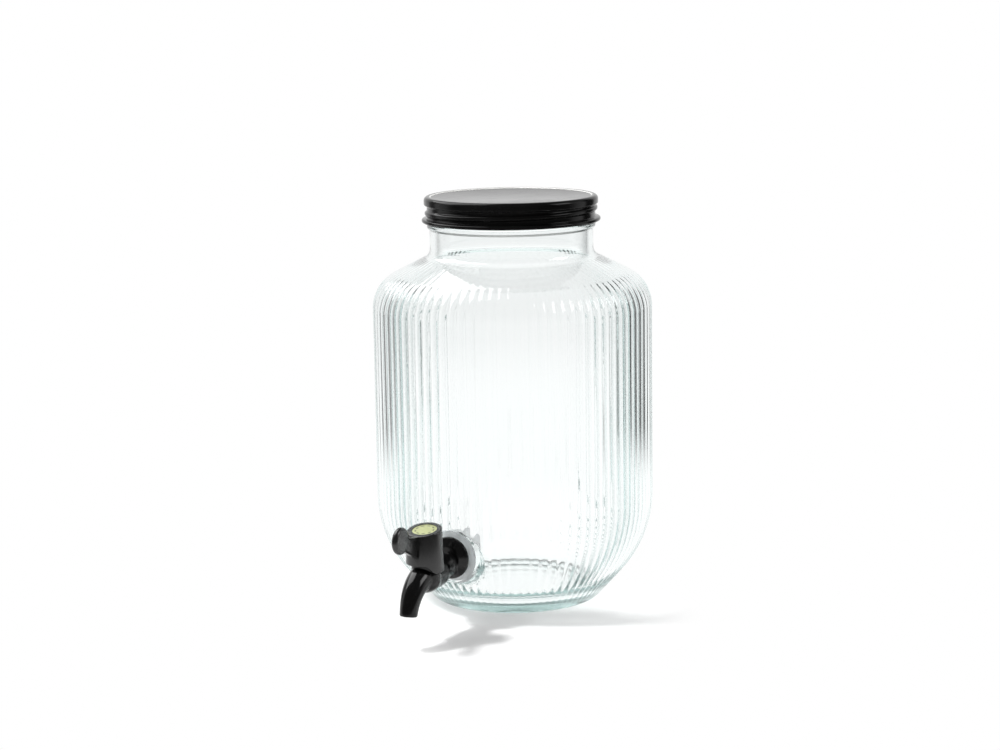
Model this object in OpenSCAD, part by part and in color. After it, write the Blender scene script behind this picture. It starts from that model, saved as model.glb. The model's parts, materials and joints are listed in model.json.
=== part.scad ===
// Ribbed glass drink dispenser: a wide-mouth jar on its foot, a screw lid of sheet steel with its
// sealing ring, and a quarter-turn tap clamped in a boss low on the front of the jar.
// Millimetres. The origin is the centre of the foot, +Z is up and the tap points along -Y.

/* [Jar] */
// Outer radius of the wall, over the ribs
jar_r = 86.9; // [82:0.1:94]
// Height of the jar from the foot to the rim
jar_h = 251; // [220:0.5:300]
// Thickness of the glass
glass_wall = 4; // [3:0.1:5]
// Thickness of the glass floor
floor_t = 8; // [6:0.5:12]
// Radius of the flat foot, to its sharp corner
foot_r = 52.5; // [48:0.5:58]
// Round at the edge of the foot
foot_round = 4; // [1:0.5:6]
// Height of the sharp corner between heel and wall
heel_h = 38.4; // [34:0.2:42]
// Radius of the heel curve
heel_round = 72; // [50:1:78]
// Round where the inner floor meets the heel
floor_round = 14; // [6:1:18]
// Rise of the shoulder from its sharp corner to the neck
shoulder_rise = 18.4; // [15:0.2:20]
// Radius of the shoulder curve
shoulder_round = 24; // [16:1:28]
// Number of ribs round the wall
rib_count = 90; // [60:1:110]
// Depth of the valleys between the ribs
rib_depth = 0.9; // [0.4:0.1:1.4]

/* [Neck] */
// Outer radius of the neck
neck_r = 50.7; // [46:0.1:52]
// Height of the neck, from the sharp corner at the shoulder to the rim
neck_h = 34.4; // [30:0.2:45]
// Hollow round between shoulder and neck
neck_round = 6; // [3:0.5:9]
// Round on the edges of the rim
rim_round = 1.2; // [0.4:0.1:1.5]
// Drop from the rim to the middle of the bead under the lid
bead_drop = 16.6; // [16.4:0.1:19]
// Radius of the section of that bead
bead_r = 1.5; // [1:0.1:1.8]
// Pitch of the lid thread
thread_pitch = 5.08; // [4.6:0.02:5.6]
// Turns of the thread on the glass
thread_turns = 1.2; // [0.8:0.05:1.3]
// Height of the thread over the neck
thread_h = 1.8; // [1.2:0.1:2]
// Half width of the thread at its crest
thread_crest = 0.6; // [0.4:0.1:0.8]
// Half width of the thread at its root
thread_root = 1.4; // [1:0.1:1.5]
// Drop from the rim to the start of the thread
thread_drop = 11.8; // [11:0.1:12.2]

/* [Lid] */
// Thickness of the lid sheet
lid_sheet = 0.5; // [0.4:0.05:0.7]
// Height of the lid over the rim
lid_over = 1.5; // [1.2:0.1:1.8]
// Depth of the lid skirt below the rim
lid_drop = 14.4; // [14:0.1:14.6]
// Depth of the sunk middle of the lid top
panel_sink = 0.6; // [0.3:0.1:0.7]
// Width of the raised ring round the sunk middle
panel_edge = 4.4; // [3:0.1:6]
// Round between lid top and lid side
lid_round = 2.4; // [1:0.1:3]
// Height of the plain band at the top of the skirt
lid_band = 5; // [4:0.1:5.6]
// Radius of the rolled edge's section
curl_r = 1.1; // [0.9:0.05:1.3]
// Width of the sealing ring under the raised ring
liner_w = 4.4; // [3:0.1:4.6]

/* [Tap seat] */
// Height of the tap's axis over the foot
tap_z = 43.3; // [40:0.1:48]
// How far the flat face of the boss stands out of the wall
seat_out = 0.1; // [0:0.1:3]
// Radius of the flat face of the boss
seat_r = 16; // [15.6:0.1:17]
// Draft of the side of the boss in degrees
seat_draft = 20; // [15:1:25]
// Thickness of the glass at the tap
seat_t = 5.5; // [4.5:0.1:6]
// Radius of the flat recess for the nut inside the jar
recess_r = 16; // [15.8:0.1:16.4]
// Radius of the threaded tail of the tap
tail_r = 7.9; // [7:0.1:8.2]
// Thickness of the washer outside the glass
outer_washer_t = 1.5; // [1:0.1:2.5]
// Radius of the washer outside the glass
outer_washer_r = 11.8; // [10:0.1:12]
// Thickness of the washer inside the glass
inner_washer_t = 2.2; // [1.5:0.1:3]
// Radius of the washer inside the glass
inner_washer_r = 15.4; // [14.5:0.1:15.6]
// Radius of the flange of the nut
nut_flange_r = 15.2; // [14.6:0.1:15.6]
// Thickness of the flange of the nut
nut_flange_t = 2; // [1.5:0.1:3]
// Width of the nut across its flats
nut_flats = 25; // [22:0.5:26]
// Height of the hexagon of the nut
nut_h = 8; // [4:0.5:9]
// How far the tail stands out of the nut
tail_out = 1.8; // [0.5:0.1:4]

/* [Tap body] */
// Distance of the barrel from the back of the flange
barrel_reach = 31; // [28:0.5:36]
// Radius of the flange on the outside of the jar
flange_r = 12.8; // [12:0.1:14]
// Thickness of the rim of the flange
flange_rim = 1.8; // [1.2:0.1:2.4]
// Height of the dome of the flange over its rim
flange_dome = 2.6; // [1.5:0.1:3.5]
// Radius of the flat top of that dome
dome_r = 8; // [7:0.1:9]
// Radius of the sloping pipe between flange and elbow
pipe_r = 6.5; // [6:0.1:6.8]
// Drop from the tap's axis to the middle of the pipe at the flange
pipe_drop = 3.5; // [2.5:0.1:4]
// Drop from the tap's axis to the middle of the valve's port
port_drop = 6.4; // [6.2:0.1:6.6]
// Radius of the elbow between pipe and barrel
elbow_r = 8.4; // [8:0.1:8.8]
// How far the elbow reaches behind the barrel
elbow_back = 21.4; // [20:0.1:22]
// Drop from the tap's axis to the middle of the elbow
elbow_drop = 5; // [4.5:0.1:5.5]
// Radius of the bulb under the handle
bulb_r = 9.2; // [8.8:0.1:9.8]
// Outer radius of the barrel inside the handle
barrel_r = 8.2; // [7.9:0.1:8.4]
// Height of the barrel over the tap's axis
barrel_top = 14.2; // [13:0.1:15]
// Drop from the tap's axis to the bottom of the bulb
bulb_drop = 13.4; // [13.2:0.1:14]
// Round of the bottom of the bulb
bulb_round = 8; // [6:0.1:8]
// How far the tip of the spout lies in front of the barrel
spout_reach = 21.6; // [18:0.1:25]
// Drop from the tap's axis to the tip of the spout
spout_drop = 22.8; // [18:0.1:28]
// How far the bend of the spout lies in front of the barrel
bend_reach = 18; // [14:0.1:20]
// Drop from the tap's axis to the bend of the spout
bend_drop = 4.6; // [3:0.1:6]
// Drop from the tap's axis to the middle of the spout in the barrel
root_drop = 2.8; // [2.4:0.1:3.4]
// Radius of the spout at its tip
spout_tip_r = 5.2; // [4.8:0.1:6]
// Radius of the spout at the barrel
spout_root_r = 8; // [7.6:0.1:8.1]
// Radius of the water way
way_r = 3.2; // [2.8:0.1:3.4]

/* [Handle] */
// Height of the middle of the slanted top over the tap's axis
cap_top = 24.5; // [23:0.1:27]
// Slant of the top towards the front in degrees
cap_slant = 11; // [5:1:20]
// Radius of the handle at its top
cap_top_r = 10.3; // [9.6:0.1:11]
// Radius of the handle at its lower edge
cap_low_r = 11.4; // [10.6:0.1:12]
// Drop from the tap's axis to the handle's lower edge
skirt_drop = 0.1; // [0:0.1:0.5]
// Turn of the handle from closed to open in degrees
handle_turn = 90; // [60:5:100]
// Height of the notch that the root of the spout stands in
notch_h = 4.6; // [4.2:0.1:5]
// Distance of the round paddle in front of the barrel
paddle_reach = 29; // [26:0.5:34]
// Height of the middle of the paddle over the tap's axis
paddle_up = 24.2; // [20:0.1:26]
// Radius of the paddle
paddle_r = 8; // [6:0.1:10]
// Thickness of the paddle
paddle_t = 4; // [3:0.1:5]
// Round on the edge of the paddle
paddle_round = 1.3; // [0.5:0.1:1.4]
// Thickness of the web between handle and paddle
web_t = 3.4; // [2.4:0.1:4]
// Height of the web at the handle
web_root = 12.5; // [9:0.1:14]
// Height of the web at the paddle
web_end = 8; // [6:0.1:10]
// How far the middle of the web's end lies below the middle of the paddle
web_low = 1; // [0:0.1:2]
// Radius of the badge disc
badge_r = 7.4; // [5:0.1:8]
// Thickness of the badge disc
badge_t = 0.5; // [0.3:0.1:0.8]
// How far the badge lies below the slanted top
badge_sink = 0.3; // [0.1:0.1:0.5]

/* [Valve] */
// Radius of the valve plug
plug_r = 6.15; // [5.6:0.05:6.2]
// Drop from the tap's axis to the floor of the valve chamber
chamber_drop = 10.4; // [10.2:0.1:10.6]
// Radius of the port through the plug and of the way that slopes down to it
port_r = 3; // [2.6:0.1:3.1]
// Width of the square drive on the plug
drive_w = 6.6; // [5:0.1:7.6]
// Length of the square drive
drive_h = 5.4; // [4:0.1:5.6]
// Radius of the section of each sealing ring
ring_r = 0.9; // [0.6:0.05:1.1]
// Height of the lower sealing ring over the tap's axis
low_ring_up = 1; // [0:0.1:4]
// Height of the upper sealing ring over the tap's axis
high_ring_up = 10.4; // [9.8:0.1:11]
// Height of the snap bead on the barrel over the tap's axis
snap_up = 9.4; // [8:0.1:11]
// How far the snap bead stands out of the barrel
snap_h = 0.5; // [0.3:0.05:0.6]
// Height of the snap bead
snap_w = 1.6; // [1:0.1:2.4]

/* [Clearances] */
// Between the plug and its chamber, and each sealing ring and the chamber
run_clear = 0.05; // [0.02:0.01:0.1]
// Between pieces that pass each other without touching
free_clear = 0.35; // [0.3:0.05:0.4]
// Between pieces that are pushed together
push_clear = 0.05; // [0.02:0.01:0.1]
// Between the tail of the tap and the holes that it passes through
tail_clear = 0.4; // [0.3:0.05:0.6]
// Between the thread of the nut and that of the tail
nut_clear = 0.06; // [0.03:0.01:0.1]
// Between the lid sheet and the thread on the glass
thread_clear = 0.4; // [0.3:0.05:0.45]

/* [Hidden] */
$fn = 96;
arc_step = 6;        // degrees of turn between the points of a rounded corner
rib_points = 2;      // outline points of one rib
helix_step = 5;      // degrees between the sections of a thread
spout_rings = 14;    // sections along the spout
spout_sides = 32;    // sides of each section
over = 1;            // how far a cut runs past the face that it opens

// Jar, worked out from the sizes above
heel_tilt = atan2(jar_r - foot_r, heel_h);
shoulder_tilt = atan2(jar_r - neck_r, shoulder_rise);
neck_z = jar_h - neck_h;
shoulder_z = neck_z - shoulder_rise;             // sharp corner between wall and shoulder
heel_shift = glass_wall * tan(heel_tilt / 2);
shoulder_shift = glass_wall * tan(shoulder_tilt / 2);
mouth_r = neck_r - glass_wall;
inner_r = jar_r - glass_wall;
inner_floor_r = inner_r - (heel_h + heel_shift - floor_t) * tan(heel_tilt);
crest_r = neck_r + thread_h;
rib_skin = 0.05;     // the revolved wall lies this far outside the rib crests

// Lid, seen from the rim and the neck
lid_top = jar_h + lid_over;
lid_low = jar_h - lid_drop;
land_r = crest_r - thread_h / 2;                 // inside of the skirt between the thread's turns
groove_r = crest_r + thread_clear;               // inside of the rolled thread
skirt_r = groove_r + lid_sheet;                  // inside of the plain band
lid_r = skirt_r + lid_sheet;
flare_r = groove_r + lid_sheet / 2;              // inside of the rolled edge
curl_out_r = flare_r + 2 * curl_r;
band_z = lid_top - lid_band;
flare_z = lid_low + 2 * curl_r;
panel_r = lid_r - panel_edge;

// Tap, as distances from the jar axis and heights over the foot
seat_y = jar_r + seat_out;
glass_in_y = seat_y - seat_t;
flange_y = seat_y + outer_washer_t;
barrel_y = flange_y + barrel_reach;
nut_y = glass_in_y - inner_washer_t;
tail_end_y = nut_y - nut_flange_t - nut_h - tail_out;
hole_r = tail_r + tail_clear;
chamber_r = plug_r + run_clear;
chamber_floor = tap_z - chamber_drop;
port_z = tap_z - port_drop;
cap_low_z = tap_z - skirt_drop;
bulb_top = cap_low_z - free_clear;
bulb_low = tap_z - bulb_drop;
cap_in_r = barrel_r + free_clear;
ceiling_z = tap_z + barrel_top + free_clear;
drive_z = ceiling_z - free_clear;
root_half = sqrt(pow(spout_root_r, 2) - pow(root_drop - skirt_drop, 2));   // at the handle's lower edge
notch_half = asin(root_half / cap_in_r) + free_clear / cap_in_r * 180 / PI;
notch_sweep = 2 * notch_half + handle_turn;
pipe_y = flange_y + flange_rim;                  // start of the sloping pipe
elbow_y = barrel_y - elbow_back;
snap_in_r = cap_in_r + snap_h;

// A list of [x, y, radius] corners with each corner rounded by its radius, as points.
function corner_arc(p, q, s, r) =
    let (a = [p[0] - q[0], p[1] - q[1]], b = [s[0] - q[0], s[1] - q[1]],
        ua = a / norm(a), ub = b / norm(b),
        half = acos(max(-1, min(1, ua * ub))) / 2,
        reach = min(r / tan(half), norm(a) * 0.98, norm(b) * 0.98),
        radius = reach * tan(half),
        mid = (ua + ub) / norm(ua + ub) * radius / sin(half),
        start = ua * reach - mid,
        a0 = atan2(start[1], start[0]),
        turn = (ua[0] * ub[1] - ua[1] * ub[0] > 0 ? -1 : 1) * (180 - 2 * half),
        steps = max(2, ceil(abs(turn) / arc_step)))
    [for (i = [0:steps])
        [q[0] + mid[0] + radius * cos(a0 + turn * i / steps),
         q[1] + mid[1] + radius * sin(a0 + turn * i / steps)]];
function rounded(c) = [for (i = [0:len(c) - 1])
    each (len(c[i]) < 3 ? [[c[i][0], c[i][1]]]
        : corner_arc(c[i - 1], c[i], c[(i + 1) % len(c)], c[i][2]))];

// A closed skin over a list of rings that have equal numbers of points.
module skin(rings) {
    n = len(rings[0]);
    last = len(rings) - 1;
    polyhedron(
        points = [for (ring = rings) each ring],
        faces = concat(
            [for (k = [1:n - 2]) [0, k + 1, k]],
            [for (k = [1:n - 2]) [last * n, last * n + k, last * n + k + 1]],
            [for (i = [0:last - 1]) for (k = [0:n - 1])
                [i * n + k, i * n + (k + 1) % n, (i + 1) * n + k]],
            [for (i = [0:last - 1]) for (k = [0:n - 1])
                [i * n + (k + 1) % n, (i + 1) * n + (k + 1) % n, (i + 1) * n + k]]));
}

// A right-hand thread from turn t0 to turn t1, at height z on turn 0. The section runs from radius
// r0, half width w0, to radius r1, half width w1. fade is how many turns each end takes to rise.
module thread(r0, w0, r1, w1, z, t0, t1, fade) {
    steps = ceil((t1 - t0) * 360 / helix_step);
    skin([for (i = [0:steps])
        let (t = t0 + (t1 - t0) * i / steps,
            rise = fade > 0 ? max(0.1, min(1, (t - t0) / fade, (t1 - t) / fade)) : 1,
            r = r0 + (r1 - r0) * rise, h = z + thread_pitch * t, c = cos(360 * t), s = sin(360 * t))
        [[r0 * c, r0 * s, h - w0], [r * c, r * s, h - w1],
         [r * c, r * s, h + w1], [r0 * c, r0 * s, h + w0]]]);
}

// A round bar along -Y on the tap's axis, from distance a to distance b from the jar axis.
module along_tap(a, b, r1, r2) {
    translate([0, -a, tap_z]) rotate([90, 0, 0]) cylinder(h = b - a, r1 = r1, r2 = r2);
}
// A round bar from distance a, height za to distance b, height zb.
module sloping(a, za, b, zb, r) {
    translate([0, -a, za]) rotate([90 + atan2(za - zb, b - a), 0, 0])
        cylinder(h = norm([b - a, zb - za]), r = r);
}
// A flat ring along the tap's axis.
module tap_ring(a, b, outer, inner) {
    difference() {
        along_tap(a, b, outer, outer);
        along_tap(a - over, b + over, inner, inner);
    }
}
module at_barrel(z) { translate([0, -barrel_y, z]) children(); }
module on_cap_top() { at_barrel(tap_z + cap_top) rotate([cap_slant, 0, 0]) children(); }

// Outline of the ribs round the wall.
function rib_outline() = [for (i = [0:rib_count * rib_points - 1])
    let (a = 360 * i / (rib_count * rib_points),
        r = jar_r - rib_depth * (1 - abs(cos(180 * i / rib_points))))
    [r * cos(a), r * sin(a)]];

module jar_outside() {
    wall_r = jar_r + rib_skin;
    intersection() {
        rotate_extrude() polygon(rounded([
            [0, 0], [foot_r, 0, foot_round], [wall_r, heel_h, heel_round],
            [wall_r, shoulder_z, shoulder_round], [neck_r, neck_z, neck_round],
            [neck_r, jar_h, rim_round], [0, jar_h]]));
        translate([0, 0, -over]) linear_extrude(jar_h + 2 * over) polygon(rib_outline());
    }
}
module jar_inside() {
    rotate_extrude() polygon(rounded([
        [0, floor_t], [inner_floor_r, floor_t, floor_round],
        [inner_r, heel_h + heel_shift, heel_round - glass_wall],
        [inner_r, shoulder_z - shoulder_shift, shoulder_round - glass_wall],
        [mouth_r, neck_z - shoulder_shift, neck_round + glass_wall],
        [mouth_r, jar_h + over], [0, jar_h + over]]));
}
module glass_jar() color([0.86, 0.94, 0.94, 0.4])
    difference() {
        union() {
            jar_outside();
            rotate_extrude() translate([neck_r, jar_h - bead_drop]) circle(bead_r);
            thread(neck_r - bead_r, thread_root, crest_r, thread_crest,
                jar_h - thread_drop, 0, thread_turns, 0.06);
            along_tap(inner_floor_r, seat_y, seat_r + (seat_y - inner_floor_r) * tan(seat_draft), seat_r);
        }
        jar_inside();
        along_tap(inner_floor_r - over, glass_in_y, recess_r, recess_r);
        along_tap(glass_in_y - over, seat_y + over, hole_r, hole_r);
    }

// Outline of the lid sheet: its outside from the middle of the top down, then its inside back up.
function lid_outline() = concat(
    rounded([[0, lid_top - panel_sink], [panel_r, lid_top - panel_sink],
        [panel_r + panel_sink, lid_top], [lid_r, lid_top, lid_round], [lid_r, band_z],
        [land_r + lid_sheet, band_z - lid_sheet], [land_r + lid_sheet, flare_z + lid_sheet],
        [curl_out_r, flare_z, curl_r], [curl_out_r, lid_low, curl_r], [flare_r, lid_low, curl_r],
        [flare_r, flare_z - lid_sheet]]),
    rounded([[land_r, flare_z],
        [land_r, band_z - lid_sheet], [skirt_r, band_z],
        [skirt_r, lid_top - lid_sheet, lid_round - lid_sheet],
        [panel_r + panel_sink, lid_top - lid_sheet],
        [panel_r, lid_top - panel_sink - lid_sheet], [0, lid_top - panel_sink - lid_sheet]]));
module lid_shell() color([0.06, 0.06, 0.06])
    difference() {
        union() {
            rotate_extrude() polygon(lid_outline());
            intersection() {
                lid_thread(land_r + lid_sheet / 2, skirt_r, lid_sheet / 2);
                translate([0, 0, flare_z + lid_sheet / 2]) cylinder(h = band_z - flare_z - lid_sheet, r = lid_r);
            }
        }
        lid_thread(neck_r, groove_r, 0);
    }
// The rolled thread of the lid, from radius r0 to radius r1, made wider by more on each side.
module lid_thread(r0, r1, more) {
    slope = (thread_root - thread_crest) / thread_h;
    crest = thread_crest + thread_clear + more;
    thread(r0, crest + slope * (r1 - r0), r1, crest, jar_h - thread_drop, -1, 2, 0);
}

module lid_liner() color([0.82, 0.82, 0.8])
    rotate_extrude() polygon([
        [panel_r + panel_sink + push_clear, lid_top - lid_sheet - push_clear],
        [panel_r + push_clear, lid_top - panel_sink - lid_sheet - push_clear],
        [mouth_r, lid_top - panel_sink - lid_sheet - push_clear], [mouth_r, jar_h],
        [mouth_r + liner_w, jar_h], [mouth_r + liner_w, lid_top - lid_sheet - push_clear]]);

// The middle line of a spout that starts at height z, t from 0 in the barrel to 1 at the tip:
// [forward, height], and its direction.
function spout_at(t, z) = [2 * t * (1 - t) * bend_reach + t * t * spout_reach,
    (1 - t) * (1 - t) * z + 2 * t * (1 - t) * (tap_z - bend_drop) + t * t * (tap_z - spout_drop)];
function spout_way(t, z) = [(1 - 2 * t) * bend_reach + t * spout_reach,
    (1 - t) * (tap_z - bend_drop - z) + t * (bend_drop - spout_drop)];
// A tube along that line up to t1, of radius r0 in the barrel and r1 at the tip.
module spout_tube(z, r0, r1, t1) {
    at_barrel(0) skin([for (i = [0:spout_rings])
        let (t = t1 * i / spout_rings, p = spout_at(t, z), w = spout_way(t, z), u = w / norm(w),
            r = r0 + (r1 - r0) * t)
        [for (k = [0:spout_sides - 1])
            let (a = -360 * k / spout_sides)
            [r * cos(a), -(p[0] - u[1] * r * sin(a)), p[1] + u[0] * r * sin(a)]]]);
}
module tap_body() color([0.05, 0.05, 0.05])
    difference() {
        union() {
            along_tap(tail_end_y, flange_y + over, tail_r, tail_r);
            rotate([90, 0, 0]) translate([0, tap_z, 0]) rotate_extrude() polygon([
                [0, flange_y], [flange_r, flange_y], [flange_r, flange_y + flange_rim],
                [dome_r, flange_y + flange_rim + flange_dome], [0, flange_y + flange_rim + flange_dome]]);
            sloping(pipe_y, tap_z - pipe_drop, elbow_y + elbow_r, tap_z - elbow_drop, pipe_r);
            difference() {
                translate([0, 0, tap_z - elbow_drop]) rotate([90, 0, 0]) rotate_extrude() polygon(rounded([
                    [0, elbow_y], [elbow_r, elbow_y, elbow_r], [elbow_r, barrel_y], [0, barrel_y]]));
                at_barrel(bulb_top) cylinder(h = 2 * elbow_r, r = cap_low_r + free_clear);
            }
            at_barrel(0) rotate_extrude() polygon(rounded([[0, bulb_low],
                [bulb_r, bulb_low, bulb_round], [bulb_r, bulb_top], [0, bulb_top]]));
            at_barrel(bulb_low + bulb_round) cylinder(h = tap_z + barrel_top - bulb_low - bulb_round, r = barrel_r);
            at_barrel(tap_z + snap_up - snap_w / 2) cylinder(h = snap_w, r = barrel_r + snap_h);
            spout_tube(tap_z - root_drop, spout_root_r, spout_tip_r, 1);
        }
        along_tap(tail_end_y - over, glass_in_y + over, way_r, way_r);
        sloping(glass_in_y, tap_z, barrel_y, port_z, port_r);
        at_barrel(chamber_floor) cylinder(h = barrel_top + chamber_drop + over, r = chamber_r);
        spout_tube(port_z, way_r, way_r, 1.05);
    }

module outer_washer() color([0.9, 0.9, 0.88])
    tap_ring(seat_y, flange_y, outer_washer_r, hole_r);
module inner_washer() color([0.9, 0.9, 0.88])
    tap_ring(nut_y, glass_in_y, inner_washer_r, hole_r);
module lock_nut() color([0.93, 0.93, 0.92])
    difference() {
        union() {
            along_tap(nut_y - nut_flange_t, nut_y, nut_flange_r, nut_flange_r);
            translate([0, nut_flange_t - nut_y, tap_z]) rotate([-90, 0, 0])
                cylinder(h = nut_h, r = nut_flats / sqrt(3), $fn = 6);
        }
        along_tap(tail_end_y, nut_y + over, tail_r + nut_clear, tail_r + nut_clear);
    }

module tap_handle() color([0.05, 0.05, 0.05]) {
    web_x = snap_in_r + push_clear;
    paddle_z = tap_z + paddle_up;
    web_z = paddle_z - web_low;
    root_z = tap_z + cap_top - cap_top_r * tan(cap_slant);
    difference() {
        at_barrel(cap_low_z) cylinder(h = 2 * cap_top, r1 = cap_low_r,
            r2 = 2 * cap_top_r - cap_low_r);
        on_cap_top() translate([-cap_top, -cap_top, 0]) cube(2 * cap_top);
        on_cap_top() translate([0, 0, -badge_t - badge_sink])
            cylinder(h = badge_t + badge_sink + over, r = badge_r + push_clear);
        at_barrel(cap_low_z - over) cylinder(h = ceiling_z - cap_low_z + over, r = cap_in_r);
        at_barrel(tap_z + snap_up - snap_w / 2 - free_clear)
            cylinder(h = snap_w + 2 * free_clear, r = snap_in_r);
        at_barrel(ceiling_z - over) drive_prism(drive_w + 2 * push_clear, drive_h + over + push_clear);
        at_barrel(cap_low_z - over) rotate([0, 0, 270 - handle_turn - notch_half])
            rotate_extrude(angle = notch_sweep) square([cap_low_r + over, notch_h + over]);
    }
    at_barrel(0) rotate([90, 0, -90]) translate([0, 0, -web_t / 2]) linear_extrude(web_t) polygon([
        [web_x, root_z], [web_x, root_z - web_root], [paddle_reach, web_z - web_end / 2],
        [paddle_reach, web_z + web_end / 2]]);
    at_barrel(0) translate([0, -paddle_reach, paddle_z]) rotate([0, 90, 0]) rotate_extrude() polygon(rounded([
        [0, -paddle_t / 2], [paddle_r, -paddle_t / 2, paddle_round],
        [paddle_r, paddle_t / 2, paddle_round], [0, paddle_t / 2]]));
}

module drive_prism(w, h) { translate([-w / 2, -w / 2, 0]) cube([w, w, h]); }
module valve_plug() color([0.85, 0.85, 0.83])
    difference() {
        union() {
            at_barrel(chamber_floor + free_clear)
                cylinder(h = drive_z - chamber_floor - free_clear, r = plug_r);
            at_barrel(drive_z) drive_prism(drive_w, drive_h + free_clear - push_clear);
        }
        at_barrel(port_z) rotate([0, 90, 0]) cylinder(h = 2 * plug_r + over, r = port_r, center = true);
        for (up = [low_ring_up, high_ring_up]) at_barrel(tap_z + up - ring_r - push_clear)
            difference() {
                cylinder(h = 2 * (ring_r + push_clear), r = plug_r + over);
                translate([0, 0, -over])
                    cylinder(h = 2 * (ring_r + over), r = plug_r - 2 * ring_r - push_clear);
            }
    }
module sealing_ring(up) {
    at_barrel(tap_z + up) rotate_extrude() translate([plug_r - ring_r, 0]) circle(ring_r);
}
module upper_o_ring() color([0.12, 0.12, 0.12]) sealing_ring(high_ring_up);
module lower_o_ring() color([0.12, 0.12, 0.12]) sealing_ring(low_ring_up);
module badge_disc() color([0.78, 0.74, 0.45])
    on_cap_top() translate([0, 0, -badge_t - badge_sink]) cylinder(h = badge_t, r = badge_r);

glass_jar();
lid_shell();
lid_liner();
tap_body();
outer_washer();
inner_washer();
lock_nut();
tap_handle();
valve_plug();
upper_o_ring();
lower_o_ring();
badge_disc();
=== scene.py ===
"""Looks of a ribbed glass drink dispenser: the jar, its screw lid and its tap, around their solids."""
import json
import math

import bmesh
import bpy
from mathutils import Matrix, Vector


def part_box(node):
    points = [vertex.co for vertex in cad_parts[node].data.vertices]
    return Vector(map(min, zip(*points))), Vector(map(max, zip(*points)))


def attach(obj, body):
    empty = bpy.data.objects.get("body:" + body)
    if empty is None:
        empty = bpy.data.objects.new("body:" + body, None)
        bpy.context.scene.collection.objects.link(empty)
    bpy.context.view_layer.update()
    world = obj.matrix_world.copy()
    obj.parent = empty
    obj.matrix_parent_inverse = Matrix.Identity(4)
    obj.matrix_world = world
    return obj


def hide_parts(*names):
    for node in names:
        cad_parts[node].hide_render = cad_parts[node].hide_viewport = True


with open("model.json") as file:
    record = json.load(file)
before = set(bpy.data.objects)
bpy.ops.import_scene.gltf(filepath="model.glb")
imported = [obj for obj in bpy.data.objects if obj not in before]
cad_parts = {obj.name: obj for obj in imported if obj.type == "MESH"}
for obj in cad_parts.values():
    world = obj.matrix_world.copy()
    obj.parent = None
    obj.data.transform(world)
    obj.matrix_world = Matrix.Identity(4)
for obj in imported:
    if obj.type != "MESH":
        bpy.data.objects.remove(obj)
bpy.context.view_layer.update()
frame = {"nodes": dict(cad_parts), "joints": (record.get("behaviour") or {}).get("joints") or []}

# Outlines are written in millimetres, and meshes are in metres.
mm = 0.001
full_turn = 2 * math.pi
quarter_turn = math.pi / 2
# Turn between the points of a rounded corner: the finest, the coarsest, and the sag that picks between them
arc_step = math.radians(5)
arc_step_most = math.radians(15)
arc_sag = 0.01
# A point this near to a skin belongs to it.
near_skin = 0.05

# Sizes read from the solids
jar_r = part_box("glass_jar")[1].x / mm
jar_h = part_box("glass_jar")[1].z / mm
lid_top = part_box("lid_shell")[1].z / mm
lid_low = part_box("lid_shell")[0].z / mm
washer_low, washer_high = (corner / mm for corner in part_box("outer_washer"))
tap_z = (washer_low.z + washer_high.z) / 2
seat_y = -washer_high.y
flange_y = -washer_low.y
tail_end_y = -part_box("tap_body")[1].y / mm
nut_y = -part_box("inner_washer")[1].y / mm
glass_in_y = -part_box("inner_washer")[0].y / mm
nut_end_y = -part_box("lock_nut")[1].y / mm
outer_washer_r = washer_high.x
inner_washer_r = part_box("inner_washer")[1].x / mm
nut_flange_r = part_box("lock_nut")[1].x / mm
tap_hinge = next(joint for joint in frame["joints"] if joint["name"] == "tap_turn")
barrel_y = -tap_hinge["pos_m"][1] / mm

# Jar
glass_wall = 4
floor_t = 8
floor_dome = 1.2
floor_round = 34
foot_r = 52.5
foot_round = 4
punt_r = 43
punt_h = 2.2
punt_rim_h = 0.8 * punt_h
punt_slope = 3.5
punt_round = 2
punt_edge = 1.5
heel_h = 38.4
heel_round = 72
shoulder_rise = 18.4
shoulder_round = 24
neck_r = 50.7
neck_h = 34.4
neck_round = 6
neck_z = jar_h - neck_h
shoulder_z = neck_z - shoulder_rise
mouth_round = 10
rim_round = 1.2
rim_flat = 1.5
bead_z = jar_h - 16.6
bead_r = 1.5
bead_flat = 0.8 * bead_r
bead_foot = 1.4 * bead_r
bead_round = 1
bead_hollow = 0.5
rib_count = 90
rib_steps = 8
rib_depth = 0.9
rib_soften = 0.03
heel_ribs = (58, 66)
shoulder_ribs = (68, 83)
ribs_span = (8, shoulder_z + 10)
rib_row = 9
thread_pitch = 5.08
thread_turns = 1.2
thread_h = 1.8
thread_z = jar_h - 11.8
thread_half = (1.5, 0.6)
thread_end = 0.06
thread_row = 0.7
boss_depth = 25
seat_r = 16
seat_draft = math.radians(20)
seat_round = 1
recess_r = 16
recess_start = 50
hole_r = 8.3
# Faces that touch the glass stay this far from it, so that light reaches them.
glass_gap = 0.05

# Lid
lid_sheet = 0.5
lid_r = 53.9
land_r = 52.1
roll_h = 1.35
roll_half = (2.2, 0.5)
roll_turns = (0.3, 1.5)
roll_fade = 0.8
roll_row = 0.4
roll_rise = 0.5
panel_r = 49.5
panel_sink = 0.6
panel_step = 0.9
panel_rounds = (1, 0.8)
lid_round = 2.4
lid_band = 5
band_step = 0.8
band_round = 0.7
flare_rise = 0.6
hem_rise = 0.2
curl_r = 1.1
curl_out_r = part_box("lid_shell")[1].x / mm

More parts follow.
